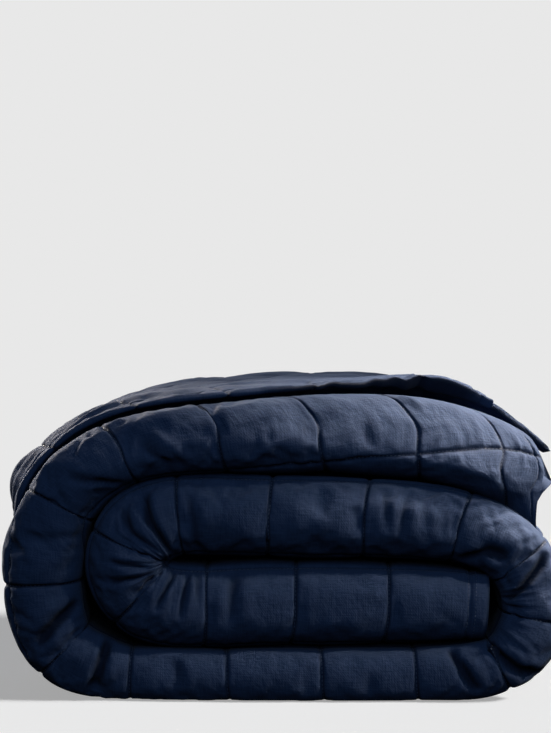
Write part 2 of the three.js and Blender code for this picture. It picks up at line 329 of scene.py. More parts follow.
# Middle panel: its outer face, its hem inside the back fold and its inner face
for run in (HEM_WIDTH, HEM_TAPER, UNDER_REACH):
    @sheet_row("under")
    def middle_outer(p, run=run):
        y = p.setback + run
        return y, p.middle + p.layer / 2, flap_round(p, y), FOLD_AT + 1 + run / BOX, 0.0
for back, side in ((HEM_TAPER, 1), (0, 1), (0, -1), (HEM_TAPER, -1)):
    @sheet_row("plain")
    def middle_hem(p, back=back, side=side):
        y = p.back_start - BACK_HEM_CLEARANCE - back
        thick = p.layer if back else HEM_THICKNESS
        return y, p.middle + side * thick / 2, 0 * y, MIDDLE_HEM_AT, 0.0

# Hollow of the front fold, then the inside of the back fold and the underside of the flap
HOLLOW_STEPS = 6
HOLLOW_WALL, HOLLOW_LAYER = 0.62, 0.9
HOLLOW_DEPTH, HOLLOW_DEEPENS = 2.2, 1.5
HOLLOW_WIDTH, HOLLOW_NARROWS = 0.8, 6
for step in range(HOLLOW_STEPS + 1):
    @sheet_row("plain")
    def fold_hollow(p, share=step / HOLLOW_STEPS):
        angle = math.pi * (0.5 - share)
        wall = mix(HEM_THICKNESS, HOLLOW_WALL * p.half, (p.layer - HEM_THICKNESS) / p.full_layer)
        y = wall + (HOLLOW_DEPTH * p.half - wall) * (1 - math.cos(angle)) ** HOLLOW_DEEPENS
        narrow = abs(math.sin(angle)) ** HOLLOW_NARROWS
        room = p.half - p.layer * HOLLOW_LAYER
        wide = room * math.sin(angle) * HOLLOW_WIDTH * (1 - narrow)
        tail = p.middle - p.layer / 2 if share < 0.5 else p.layer - p.half
        return y, mix(wide, tail, narrow), 0 * y, HOLLOW_AT, 0.0
BACK_INNER_STEPS = 5
for step in range(BACK_INNER_STEPS + 1):
    @sheet_row("plain")
    def back_inner(p, share=step / BACK_INNER_STEPS):
        angle = math.pi * (1 - share)
        y = p.back_start + (p.half - p.layer) * math.sin(angle)
        w = (p.outer - p.half) / 2 + ((p.outer + p.half) / 2 - p.layer) * math.cos(angle)
        return y, w, 0 * y, BACK_INNER_AT, 0.0
for run in (UNDER_REACH, 160, 100, HEM_TAPER, 38, 22, 10):
    @sheet_row("under")
    def flap_under(p, run=run):
        y = p.setback + run
        thick = mix(HEM_THICKNESS, p.layer, smooth(run, 0, HEM_TAPER))
        return y, flap_face(p, run) - thick, flap_round(p, y), UNDER_FLAP_AT, 0.0

# Where the columns of points lie along the roll, closer together beside each seam and at the hems
END_STEPS = np.array([0, 1.5, 4, 8, 12.5, 16, 18, 20, 24, 30]) / BOX
CLOSEST_COLUMNS = 0.009
along = np.concatenate(
    [number + BOX_STEPS for number in range(math.ceil(LAST_BOX))]
    + [END_STEPS, LAST_BOX - END_STEPS]
)
along = np.unique(np.round(along[along <= LAST_BOX], 6))
along = along[np.concatenate([[True], np.diff(along) > CLOSEST_COLUMNS])]
to_end = np.minimum(along, LAST_BOX - along) * BOX
hem_share = smooth(to_end, 0, HEM_TAPER)

# The points of every row. Its cross seams run ahead with the lean and the slide. Those of the flap
# are straight near the outer end, a little way behind its corner.
OUTER_END = (22.0, 24.0)
BEHIND_CORNER = (10.0, 110.0)
shape = (len(sheet_rows), len(along))
y, w, fold_round, across, turn = (np.zeros(shape) for _ in range(5))
place_x, place_z, out_x, out_z = (np.zeros(shape) for _ in range(4))
face = np.array([name for name, _ in sheet_rows])
level = thickness(place_at(along), hem_share)
outer_end = smooth(along, *OUTER_END)
for row, (name, point) in enumerate(sheet_rows):
    round_here = point(level)[2]
    distance = np.hypot(round_here, LEAN_SOFT) - LEAN_SOFT
    fade = 1 - smooth(distance, LEAN_KEPT, LEAN_GONE)
    reach = LEAN_REACH * (1 - np.exp(-distance / LEAN_REACH)) * fade
    ahead = np.where(round_here > 0, level.lean * reach, -level.inner_lean * reach) / BOX
    of_flap = name in ("hem", "flap", "under")
    if of_flap:
        behind_hem = distance - flap_round(level, level.setback)
        straight = outer_end * smooth(behind_hem, *BEHIND_CORNER)
        ahead = (ahead + level.slide * fade) * (1 - straight)
    p = thickness(place_at(along + ahead), hem_share)
    y[row], w[row], fold_round[row], across[row], turn[row] = point(p)
    if not of_flap:
        y[row] += p.turned * (1 - y[row] / DEPTH)
    y[row] += p.front
    place_x[row], place_z[row], out_x[row], out_z[row] = p.x, p.z, p.out_x, p.out_z

# The swell of the boxes
# The filling fills each box and the stitching draws the cloth in between them. Each box swells a
# little differently, and the cloth between the seams has soft dents.
CROWN = 3.0
PLUMP = 2.0
CROWN_POWER = 3.2
CROWN_ROOT = 0.75
BOX_CHANGE = 0.18
DRAW_ALONG, DRAW_ACROSS, DRAW_SEED = 7.3, 3.7, 3
FLAP_CALM = 0.35

# Soft dents: height, length along the roll, length across the sheet, seed
DENTS = (
    (0.9, 46, 52, 11),
    (0.5, 21, 24, 12),
)


def soft_noise(a, b, seed):
    """Smooth noise from -1 to 1, with features one unit across."""
    lattice = np.random.default_rng(seed).uniform(-1, 1, (256, 256))
    ia, ib = np.floor(a).astype(int), np.floor(b).astype(int)
    fa, fb = smooth(a - ia, 0, 1), smooth(b - ib, 0, 1)
    low = mix(lattice[ia % 256, ib % 256], lattice[(ia + 1) % 256, ib % 256], fa)
    high = mix(lattice[ia % 256, (ib + 1) % 256], lattice[(ia + 1) % 256, (ib + 1) % 256], fa)
    return mix(low, high, fb)


def unevenness(a, b, *layers):
    """Layers of soft noise on top of each other, each with its height, two lengths and seed."""
    return sum(height * soft_noise(a / long, b / wide, seed) for height, long, wide, seed in layers)


def arch(position):
    """Height of a box from seam to seam, for a position with a seam at each whole number."""
    off_middle = np.abs(2 * (position - np.floor(position)) - 1)
    return (1 - off_middle ** CROWN_POWER) ** CROWN_ROOT


along_all = np.broadcast_to(along, shape)
swell = arch(along_all) * arch(across)
fold_rows = (face == "fold")[:, None]
quilted = np.isin(face, ("flap", "back", "fold"))[:, None] * np.ones(shape)
box_change = soft_noise(
    np.floor(along_all) * DRAW_ALONG + 0.5, np.floor(across) * DRAW_ACROSS + 0.5, DRAW_SEED
)
sink = CROWN * (1 - swell * (1 + BOX_CHANGE * box_change))
along_mm, across_mm = along_all * BOX, across * BOX
dents = unevenness(along_mm, across_mm, *DENTS)

# The cloth is calmer where it is drawn tight near the outer end, and where turns weigh on it
TIGHT = (21.4, 22.4)
TIGHT_CALM, TIGHT_HOLD = 0.5, 0.75
WEIGHED_DOWN = ((-1.0, 3.4), (12.0, 16.6))
WEIGHT_EASE, WEIGHT_CALM = 0.8, 0.55
tight = smooth(along_all, *TIGHT)
weighed = sum(stretch(along_all, first, last, WEIGHT_EASE) for first, last in WEIGHED_DOWN)
calm = np.where(np.isin(face, ("flap", "back")), FLAP_CALM, 1.0)[:, None]
calm = calm * (1 - TIGHT_CALM * tight) * (1 - WEIGHT_CALM * weighed)
rise = quilted * (PLUMP + dents * swell * calm - sink) * hem_share

# The front fold goes down where the flap's hem lies on it
HEM_TUCK = 5.0
UNDER_HEM, UNDER_HEM_ALONG = (0.45, 0.9), (18.3, 18.9)
pressed = fold_round / level.quarter
under_hem = smooth(pressed, *UNDER_HEM) * smooth(along_all, *UNDER_HEM_ALONG) * fold_rows
rise = mix(rise, -HEM_TUCK, under_hem)

# Each front fold is puffed where it leans on the next turn. From box to box, side, height.
PUFFS = (
    (3.4, 5.8, 1, 2),
    (9.4, 12.0, -1, 3.5),
    (16.0, 18.8, -1, 4.5),
)
PUFF_EASE = 0.5
PUFF_RISES, PUFF_FALLS = (0.35, 0.85), (1.15, 2.2)
for first, last, side, height in PUFFS:
    within = stretch(along_all, first, last, PUFF_EASE)
    puff = smooth(side * pressed, *PUFF_RISES) * (1 - smooth(side * pressed, *PUFF_FALLS))
    rise = rise + height * within * puff * fold_rows
w = w + rise * np.cos(turn)
y = y + rise * np.sin(turn)

# The lifted edge of the flap is wavy
EDGE_WAVE, EDGE_WAVE_LENGTH, EDGE_WAVE_SEED = 3.4, 10.0, 53
EDGE_LIFTS, EDGE_RESTS = (22.2, 22.9), (24.4, 24.8)
loose_edge = smooth(along_all, *EDGE_LIFTS) * (1 - smooth(along_all, *EDGE_RESTS))
at_edge = (face == "hem")[:, None] | ((face == "flap")[:, None] & (across < 0))
edge_wave = soft_noise(along_mm / EDGE_WAVE_LENGTH, 0.5 + 0 * along_mm, EDGE_WAVE_SEED)
w = w + EDGE_WAVE * loose_edge * at_edge * edge_wave
drawn = np.stack([
    place_x + out_x * w - ROLL_CENTRE[0],
    y - DEPTH / 2 - ROLL_CENTRE[1],
    place_z + out_z * w - FLOOR_PRESS,
], axis=-1)

# The settled cloth
# The cover of each box is a little larger than the space that it spans, and the filling presses it
# out. Blender's cloth lets it settle between the sewn lines, which gives it small uneven wrinkles.
COVER_EASE = 0.05
FILLING_PRESSURE = 0.14
SETTLE_FRAMES = 7
SETTLE_LIMIT = 6.0
OUTER_TURN_AT = 15.8
PRESSED_OUTSIDE, PRESSED_INSIDE = (0.5, 0.9), (0.4, 0.8)
CROWDED = 25.0
HELD_BELOW = 0.02
HEM_STITCH_NEAR = 0.05
SAME_PLACE = 1e-4


def on_whole_number(position):
    return np.abs(position - np.round(position)) < SAME_PLACE


# The cloth moves less where a fold presses on the next turn or goes in under the flap
outer_side = (fold_round > 0) & (along_all > OUTER_TURN_AT)
pressed_on = np.where(
    outer_side, smooth(pressed, *PRESSED_OUTSIDE), smooth(np.abs(pressed), *PRESSED_INSIDE)
)
free = np.where(fold_rows, 1 - pressed_on, FLAP_CALM)
loose = free * (1 - TIGHT_HOLD * tight) * (1 - WEIGHT_CALM * weighed)
shown_rows = np.nonzero(np.isin(face, ("flap", "back", "fold")))[0]
in_step = np.diff(shown_rows) == 1
sewn = on_whole_number(along_all) | on_whole_number(across)
sewn |= np.abs(to_end - HEM_WIDTH) < HEM_STITCH_NEAR
sewn[:, :2] = sewn[:, -2:] = True
above_seam = fold_rows & (across >= FOLD_AT)
sewn |= above_seam & (fold_round[face == "fold"][-1] - level.seam < CROWDED)
sewn |= free < HELD_BELOW
sewn[shown_rows[[0, -1]]] = True
sewn[shown_rows[:-1][~in_step]] = sewn[shown_rows[1:][~in_step]] = True


def settle(grid):
    """The points of the shown rows once the cloth between the sewn ones has settled."""
    number = np.arange(grid[..., 0].size).reshape(grid.shape[:2])
    low, high = number[:-1][in_step], number[1:][in_step]
    quads = np.stack([low[:, :-1], low[:, 1:], high[:, 1:], high[:, :-1]], axis=-1).reshape(-1, 4)
    mesh = bpy.data.meshes.new("loose_cover")
    mesh.from_pydata((grid.reshape(-1, 3) * MM).tolist(), [], quads.tolist())
    cover = bpy.data.objects.new("loose_cover", mesh)
    bpy.context.collection.objects.link(cover)
    held = cover.vertex_groups.new(name="sewn")
    held.add(np.nonzero(sewn[shown_rows].ravel())[0].tolist(), 1.0, "REPLACE")
    settling = cover.modifiers.new("cloth", "CLOTH")
    settling.point_cache.frame_end = SETTLE_FRAMES
    settling.settings.vertex_group_mass = "sewn"
    settling.settings.quality = 4
    settling.settings.mass = 0.15
    settling.settings.tension_stiffness = settling.settings.compression_stiffness = 8
    settling.settings.tension_damping = settling.settings.compression_damping = 8
    settling.settings.shear_stiffness = 3
    settling.settings.shear_damping = 8
    settling.settings.bending_stiffness = 0.05
    settling.settings.air_damping = 2
    settling.settings.use_pressure = True
    settling.settings.uniform_pressure_force = FILLING_PRESSURE
    settling.settings.shrink_min = -COVER_EASE
    settling.settings.effector_weights.gravity = 0
    for frame_number in range(1, SETTLE_FRAMES + 1):
        bpy.context.scene.frame_set(frame_number)
    moved = np.empty(grid.size)
    cover.evaluated_get(bpy.context.evaluated_depsgraph_get()).data.vertices.foreach_get("co", moved)
    bpy.data.objects.remove(cover)
    bpy.data.meshes.remove(mesh)
    bpy.context.scene.frame_set(1)
    return moved.reshape(grid.shape) / MM


settled = drawn.copy()
step = settle(drawn[shown_rows]) - drawn[shown_rows]
length = np.linalg.norm(step, axis=-1, keepdims=True)
step *= np.minimum(1, SETTLE_LIMIT / np.maximum(length, 1e-6))
settled[shown_rows] += step * loose[shown_rows][..., None]


# The creased surface
# The settled cloth gets a point between each two of its points. On it lie the creases of the real
# quilt, each where it shows, the puckers beside the seams, gathers at the turns and soft crumples.
def with_midpoints(grid, places):
    """The grid with a row added after each of the places, on a smooth curve through the rows."""
    around = np.concatenate([2 * grid[:1] - grid[1:2], grid, 2 * grid[-1:] - grid[-2:-1]])
    before, here, after, beyond = (around[places + k] for k in range(4))
    return np.insert(grid, places + 1, (9 * (here + after) - before - beyond) / 16, axis=0)


shown = np.isin(face, ("hem", "flap", "back", "fold"))
row_places = np.nonzero(shown[:-1] & shown[1:])[0]
column_places = np.arange(len(along) - 1)


def finer(grid):
    closer = with_midpoints(grid, row_places)
    return with_midpoints(closer.swapaxes(0, 1), column_places).swapaxes(0, 1)


# From here on, every field is given at the points of the finer grid
cloth = finer(settled)
along, across, fold_round = finer(along_all), finer(across), finer(fold_round)
pressed, outer_side = finer(pressed), finer(outer_side * 1.0)
free = finer(free)
lifted_hem = finer((face == "hem")[:, None] * loose_edge)
on_fold = np.clip(finer(fold_rows * np.ones(shape)), 0, 1)
on_flap = np.clip(finer(np.isin(face, ("hem", "flap", "back"))[:, None] * np.ones(shape)), 0, 1)
on_cover = np.clip(on_fold + on_flap, 0, 1)
along_mm, across_mm = along * BOX, across * BOX
to_end = np.minimum(along, LAST_BOX - along) * BOX
off_end = smooth(to_end, 0, HEM_WIDTH)

# Creases on the front fold. depth, width: of the trough. lip: of the cloth pushed up beside it.
# Then the line that it follows, in boxes along the roll and millimetres round the fold.
CREASES = (
    (-2.6, 6, -1.5, ((20.36, 11), (20.51, -5), (20.69, -24))),
    (3.5, 5, 1, ((20.22, 6), (20.33, -8), (20.46, -26))),
    (4.5, 4.5, 2, ((19.34, 6), (19.53, -9), (19.82, -32))),
    (2, 7, 0.5, ((18.47, 22), (18.61, -10), (18.73, -42))),
    (8, 8.5, 2, ((17.28, 14), (17.53, -15), (17.72, -44))),
    (7.5, 8, 2, ((16.39, 22), (16.36, -7), (16.3, -42))),
    (2.5, 8, 0.5, ((15.55, -24), (15.46, 8))),
    (3, 7, 2, ((6.13, 28), (6.2, -1), (6.25, -45))),
    (7, 6, 4, ((5.66, 34), (5.6, 4), (5.77, -40))),
    (4, 6, 1.5, ((5.4, 36), (5.28, 1), (5.4, -24))),
    (4, 5, 1.5, ((4.73, 16), (4.67, -2), (4.55, -20))),
    (4, 5, 1.5, ((4.45, 22), (4.41, 1), (4.31, -14))),
    (4, 5, 2, ((4.18, -40), (4.05, 0))),
    (4.5, 5, 2, ((3.5, -44), (3.66, 4))),
    (4, 5, 2, ((3.25, -44), (3.33, 8))),
    (3, 5, 1.5, ((3.12, -46), (3.12, -4))),
    (3, 8, 1, ((2.66, -46), (2.71, 10))),
    (2.5, 6, 1.2, ((8.17, 36), (8.26, -8))),
    (2.8, 6, 1.4, ((8.4, 32), (8.39, -14))),
    (2, 6, 1, ((8.53, 33), (8.64, -2))),
    (6, 8, 2, ((9.75, -4), (9.4, -14), (9.1, -38))),
    (2.5, 7, 1, ((9.34, -4), (9.66, -10), (9.97, -4))),
    (9, 6, 1, ((10.1, 24), (10.28, 0), (10.62, -36))),
    (8, 7.5, 1.5, ((12.04, -34), (11.87, -5), (11.64, 38))),
    (7, 7, 1.5, ((12.6, -34), (12.48, -5), (12.33, 18))),
    (2, 6, 1, ((22.43, 6), (22.54, -12))),
    (-2, 7, -1, ((23.1, 48), (23.22, 28))),
)

# What the cloth shows of the table's depth, width and lip, and of the lip on the far side
DEPTH_SHOWN, WIDTH_SHOWN, LIP_SHOWN, FAR_LIP = 1.4, 0.8, 0.6, 0.5


def trough(line, depth, width, lip):
    """Height of the cloth about one crease, with no depth at the ends of its line."""
    ends = np.array(line, float) * (BOX, 1)
    lengths = np.linalg.norm(np.diff(ends, axis=0), axis=1)
    nearest = np.full(along.shape, np.inf)
    aside = np.zeros(along.shape)
    share = np.zeros(along.shape)
    for start, stop, length, before in zip(ends, ends[1:], lengths, np.cumsum(lengths) - lengths):
        step = (stop - start) / length
        off_x, off_y = along_mm - start[0], fold_round - start[1]
        run = np.clip(off_x * step[0] + off_y * step[1], 0, length)
        gap = np.hypot(off_x - run * step[0], off_y - run * step[1])
        side = np.sign(off_y * step[0] - off_x * step[1])
        closer = gap < nearest
        nearest = np.where(closer, gap, nearest)
        aside = np.where(closer, gap * side, aside)
        share = np.where(closer, (before + run) / lengths.sum(), share)
    deepest = np.sqrt(np.maximum(0, 4 * share * (1 - share)))
    near_lip = np.exp(-((aside - 2 * width) / width) ** 2)
    far_lip = np.exp(-((aside + 2 * width) / width) ** 2)
    sunk = DEPTH_SHOWN * depth * np.exp(-(nearest / (WIDTH_SHOWN * width)) ** 2)
    return deepest * (LIP_SHOWN * lip * (near_lip + FAR_LIP * far_lip) - sunk)


creased = sum(trough(line, depth, width, lip) for depth, width, lip, line in CREASES) * on_fold
# Painted shade in the listed creases: none where the trough is 0.8 mm deep, full where it is 6 mm deep
CREASE_SHADED = (0.8, 6.0)
in_crease = smooth(-creased, *CREASE_SHADED)

# Gathers where the front fold turns: from box to box, from and to round the fold, pitch and height
GATHERS = (
    (3.0, 5.9, -70, 15, 9, 2.2),
    (9.4, 11.9, -70, 10, 11, 1.8),
    (16.2, 18.2, -70, 5, 12, 1.4),
    (18.8, 20.6, -60, 10, 12, 1.2),
)
GATHER_EASE, GATHER_FADE = 0.6, 30.0
GATHER_WANDER = (0.5, 40, 30, 21)
GATHER_LENGTH, GATHER_SEED = 90.0, 22
for first, last, low, high, pitch, height in GATHERS:
    within = stretch(along, first, last, GATHER_EASE) * stretch(fold_round, low, high, GATHER_FADE)
    wander = unevenness(along_mm, fold_round, GATHER_WANDER)
    ridges = soft_noise(along_mm / pitch + wander, fold_round / GATHER_LENGTH, GATHER_SEED)
    creased += height * within * (1 - 2 * np.abs(ridges)) * on_fold * free

# Puckers: short folds across each seam, that die out a little way from it
PUCKER_HEIGHT, PUCKER_PITCH, PUCKER_REACH = 1.4, 6.5, 17.0
PUCKER_STARTS = (0.5, 5.0)
PUCKER_CHANGES = 40.0
LONG_PUCKERS = (0.6, 15, 60)
PUCKER_MEAN, PUCKER_STRENGTH = 0.7, (0.5, 70, 200)
CROSS_SHIFT, CROSS_SEED = 37, 31
LENGTH_SHIFT, LENGTH_SEED = 53, 41


def puckers(beside, run, seed):
    """Folds across a seam, for the distance beside it and the run along it."""
    folds = soft_noise(run / PUCKER_PITCH, beside / PUCKER_CHANGES + seed, seed)
    folds = folds + unevenness(run, beside, (*LONG_PUCKERS, seed + 1))
    stronger = PUCKER_MEAN + unevenness(run, beside, (*PUCKER_STRENGTH, seed + 2))
    nearby = smooth(beside, *PUCKER_STARTS) * np.exp(-beside / PUCKER_REACH)
    return PUCKER_HEIGHT * folds * stronger * nearby


beside_cross = np.abs(along - np.round(along)) * BOX
beside_length = np.abs(across - np.round(across)) * BOX
creased += on_cover * off_end * free * (
    puckers(beside_cross, across_mm + CROSS_SHIFT * np.round(along), CROSS_SEED)
    + puckers(beside_length, along_mm + LENGTH_SHIFT * np.round(across), LENGTH_SEED)
)

# The thread draws a narrow groove along every seam
GROOVE_DEPTH, GROOVE_WIDTH, GROOVE_CROSSING = 1.8, 2.2, 1.2


def near_seam(width):
    """1 on a seam and less beside it, and up to 2 where two seams cross."""
    return np.exp(-(beside_cross / width) ** 2) + np.exp(-(beside_length / width) ** 2)


groove = np.minimum(near_seam(GROOVE_WIDTH), GROOVE_CROSSING)
creased -= GROOVE_DEPTH * groove * on_cover * off_end

# The flap is drawn up in fine folds along its hem
HEM_LINE_PITCH, HEM_LINE_HEIGHT = 22.0, 2.6
HEM_LINE_START, HEM_LINE_REACH = 12.0, 160.0
HEM_LINE_DRIFT = (1.2, 90, 60, 51)
HEM_LINE_MEAN, HEM_LINE_STRENGTH = 0.7, (0.5, 60, 30, 52)
from_hem = np.maximum(0, across_mm + HEM_WIDTH)
line_drift = unevenness(along_mm, from_hem, HEM_LINE_DRIFT)
line_strength = HEM_LINE_MEAN + unevenness(along_mm, from_hem, HEM_LINE_STRENGTH)
hem_lines = np.sin(2 * math.pi * (from_hem / HEM_LINE_PITCH + line_drift))
hem_fade = np.exp(-from_hem / HEM_LINE_REACH) * smooth(from_hem, 0, HEM_LINE_START)
creased += on_flap * HEM_LINE_HEIGHT * line_strength * hem_lines * hem_fade

# Hems of the two ends: the stitching draws a groove, and the turned edge is left proud of it
HEM_GROOVE, HEM_GROOVE_WIDTH = 1.6, 2.4
hem_groove = np.exp(-((to_end - HEM_WIDTH) / HEM_GROOVE_WIDTH) ** 2)
creased -= HEM_GROOVE * hem_groove * (on_fold + on_flap)

# Crumples of washed cloth all over, in the columns of the dents
CRUMPLE = 0.7
CRUMPLES = (
    (1.0, 13, 17, 61),
    (0.7, 7.5, 9, 62),
)
creased += CRUMPLE * unevenness(along_mm, across_mm, *CRUMPLES) * on_cover * free

# Painted shade: the cloth's colour is drawn darker in the creases, along the seams, between the turns
# and on the lifted hem, where shade falls
CREASE_SHADE, SEAM_SHADE, BETWEEN_SHADE, HEM_SHADE = 0.85, 0.6, 0.8, 0.85
SEAM_SHADED = 1.8
BETWEEN_TURNS = (0.7, 1.05)
in_groove = np.minimum(near_seam(SEAM_SHADED), 1) * on_cover
between = smooth(np.abs(pressed), *BETWEEN_TURNS) * (1 - np.clip(outer_side, 0, 1)) * on_fold
unshaded = (1 - CREASE_SHADE * in_crease) * (1 - SEAM_SHADE * in_groove)
unshaded = unshaded * (1 - BETWEEN_SHADE * between) * (1 - HEM_SHADE * lifted_hem)

normal = np.cross(np.gradient(cloth, axis=1), np.gradient(cloth, axis=0))
normal /= np.maximum(np.linalg.norm(normal, axis=-1, keepdims=True), 1e-9)
cloth = cloth + normal * creased[..., None]
cloth[..., 2] = np.maximum(0, cloth[..., 2])

# The quilt's cover
# Navy washed cotton, plain woven from uneven yarn, with the dye a little worn. It is one closed
# surface: the rows of the folded sheet, with a strip across the hem at each end.
row_count, column_count = along.shape
number = np.arange(along.size).reshape(along.shape)
next_row = np.roll(number, -1, axis=0)
cover_faces = np.stack(
    [number[:, :-1], number[:, 1:], next_row[:, 1:], next_row[:, :-1]], axis=-1
).reshape(-1, 4).tolist()


def end_strip(column):
    """Triangles across the end of the sheet, from its outer face to its inner face."""
    ring, line = number[:, column], cloth[:, column]
    outer, inner = 0, row_count - 1
    strip = []
    while inner - outer > 1:
        step_outer = np.linalg.norm(line[outer + 1] - line[inner])
        step_inner = np.linalg.norm(line[outer] - line[inner - 1])
        third = outer + 1 if step_outer < step_inner else inner - 1
        strip.append((int(ring[outer]), int(ring[third]), int(ring[inner])))
        outer, inner = (third, inner) if third == outer + 1 else (outer, third)
    return strip


cover_faces += end_strip(0)
cover_faces += [corners[::-1] for corners in end_strip(column_count - 1)]
quilt_mesh = bpy.data.meshes.new("quilt_cover")
quilt_mesh.from_pydata((cloth.reshape(-1, 3) * MM).tolist(), [], cover_faces)
cover_uv = quilt_mesh.uv_layers.new(name="boxes")
corner_point = np.zeros(len(quilt_mesh.loops), int)
quilt_mesh.loops.foreach_get("vertex_index", corner_point)
sheet_uv = np.stack([along, across], axis=-1).reshape(-1, 2)
cover_uv.data.foreach_set("uv", sheet_uv[corner_point].ravel())
# The share of painted shade is kept at each point, for the material
shade_field = quilt_mesh.attributes.new("painted_shade", "FLOAT", "POINT")
shade_field.data.foreach_set("value", np.clip(1 - unshaded, 0, 1).ravel())
quilt_mesh.shade_smooth()
quilt = bpy.data.objects.new("quilt_cover", quilt_mesh)
bpy.context.collection.objects.link(quilt)


def node(tree, kind, inputs=None, **settings):
    """A new node with the given settings, and with the given inputs by name or number."""
    made = tree.nodes.new(kind)
    for name, value in settings.items():
        setattr(made, name, value)
    for name, value in (inputs or {}).items():
        if hasattr(value, "is_output"):
            tree.links.new(value, made.inputs[name])
        else:
            made.inputs[name].default_value = value
    return made


def sums(tree, operation, *values):
    return node(tree, "ShaderNodeMath", operation=operation, inputs=dict(enumerate(values))).outputs[0]


def blend(tree, share, first, second):
    """A colour between two others. Inputs 6 and 7 of the mix are its two colours."""
    inputs = {"Factor": share, 6: first, 7: second}
    return node(tree, "ShaderNodeMix", inputs, data_type="RGBA", clamp_factor=True).outputs[2]


YARN_PITCH = 1.2
DEEP_NAVY = (0.007, 0.0155, 0.043, 1)
WORN_NAVY = (0.018, 0.033, 0.077, 1)
# Near-black navy, painted where shade falls
SHADE_NAVY = (0.0018, 0.004, 0.0115, 1)
navy_cloth = bpy.data.materials.new("navy_cloth")
navy_cloth.use_nodes = True
weave = navy_cloth.node_tree
shader = weave.nodes["Principled BSDF"]
sheet_place = node(weave, "ShaderNodeUVMap", uv_map="boxes").outputs["UV"]
in_mm = node(
    weave, "ShaderNodeVectorMath", operation="SCALE", inputs={0: sheet_place, "Scale": BOX}
).outputs[0]


def cloth_noise(scale, detail, drawn_out=(1, 1, 1)):
    """Noise on the sheet, with features about 1 / scale millimetres across."""
    stretched = node(
        weave, "ShaderNodeVectorMath", operation="MULTIPLY", inputs={0: in_mm, 1: drawn_out}
    ).outputs[0]
    return node(
        weave, "ShaderNodeTexNoise", inputs={"Vector": stretched, "Scale": scale, "Detail": detail}
    ).outputs["Fac"]


# Over and under of the plain weave
turns = node(
    weave, "ShaderNodeVectorMath", operation="SCALE", inputs={0: in_mm, "Scale": math.pi / YARN_PITCH}
).outputs[0]
turn_of = node(weave, "ShaderNodeSeparateXYZ", inputs={0: turns}).outputs
over_under = sums(weave, "MULTIPLY", sums(weave, "SINE", turn_of[0]), sums(weave, "SINE", turn_of[1]))

# Thick and thin places of the yarn, both ways of the weave, and the uneven wash of the dye
SLUB_SCALE, SLUB_LONG = 0.75, 0.07
WASH_SCALE = 0.03
SLUB_TONE, WASH_TONE, WEAVE_TONE, TONE_BASE = 0.9, 0.5, 0.05, -0.65
warp_slubs = cloth_noise(SLUB_SCALE, 1.0, (1, SLUB_LONG, 1))
weft_slubs = cloth_noise(SLUB_SCALE, 1.0, (SLUB_LONG, 1, 1))
slubs = sums(weave, "ADD", warp_slubs, weft_slubs)
wash = cloth_noise(WASH_SCALE, 3.0)
tone = sums(weave, "MULTIPLY_ADD", wash, WASH_TONE, TONE_BASE)
tone = sums(weave, "MULTIPLY_ADD", slubs, SLUB_TONE, tone)
tone = sums(weave, "MULTIPLY_ADD", over_under, WEAVE_TONE, tone)
# Painted shade: by each point's share of shade, the colour goes towards near-black navy in the
# creases, seams, gaps between turns and on the lifted hem
shade_share = node(weave, "ShaderNodeAttribute", attribute_name="painted_shade").outputs["Fac"]
dye_and_shade = blend(weave, shade_share, blend(weave, tone, DEEP_NAVY, WORN_NAVY), SHADE_NAVY)
weave.links.new(dye_and_shade, shader.inputs["Base Color"])

# Relief of the yarn, and crinkles too fine for the mesh
YARN_RELIEF = 0.42
CRINKLE_SCALE = 0.22
SLUB_RELIEF, WEAVE_RELIEF, CRINKLE_RELIEF = 0.55, 0.1, 1.6
ROUGH_SLUBS, ROUGH_BASE = 0.12, 0.74
crinkle = cloth_noise(CRINKLE_SCALE, 2.0)
relief = sums(weave, "MULTIPLY", over_under, WEAVE_RELIEF)
relief = sums(weave, "MULTIPLY_ADD", slubs, SLUB_RELIEF, relief)
relief = sums(weave, "MULTIPLY_ADD", crinkle, CRINKLE_RELIEF, relief)
bump = node(weave, "ShaderNodeBump", inputs={
    "Height": relief, "Distance": YARN_RELIEF * MM, "Strength": 1.0,
})
weave.links.new(bump.outputs["Normal"], shader.inputs["Normal"])
rough = sums(weave, "MULTIPLY_ADD", slubs, ROUGH_SLUBS, ROUGH_BASE)
weave.links.new(rough, shader.inputs["Roughness"])
shader.inputs["Specular IOR Level"].default_value = 0.08
shader.inputs["Sheen Weight"].default_value = 0.02
shader.inputs["Sheen Roughness"].default_value = 0.5
shader.inputs["Sheen Tint"].default_value = (0.9, 0.94, 1.0, 1)
quilt_mesh.materials.append(navy_cloth)

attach(quilt, "root")
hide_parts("quilt")

# The stitching
# Navy cotton thread, sewn by machine through all the layers along every seam that shows and along
# the hem of each end. Each stitch is one bead of thread, laid along its seam.
STITCH_PITCH, STITCH_LENGTH, THREAD = 4.2, 3.2, 0.9
SHORT_STITCH, LONG_STITCH = 0.85, 1.1
STITCH_SEED = 5
THREAD_RISE = 0.3
THREAD_FLECKS = 900.0
DEEP_THREAD = (0.01, 0.02, 0.05, 1)
WORN_THREAD = (0.03, 0.05, 0.1, 1)
INNER_HEM_LINES = (12.5, 20.0)
END_LINES = np.array([line / BOX for line in INNER_HEM_LINES] + [LAST_BOX - HEM_WIDTH / BOX])
FIRST_SEAM_FROM, LAST_SEAM_TO = 0.5, LAST_BOX - 0.3
FLAP_SHOWS_FROM = 15.5
WHOLLY = 0.99
SEEN_PAST_FOLD = 1.05
seam_points, seam_edges = [], []


def sew(points):
    """Adds a sewn line through the points."""
    first = len(seam_points)
    seam_points.extend((points * MM).tolist())
    seam_edges.extend((first + k, first + k + 1) for k in range(len(points) - 1))


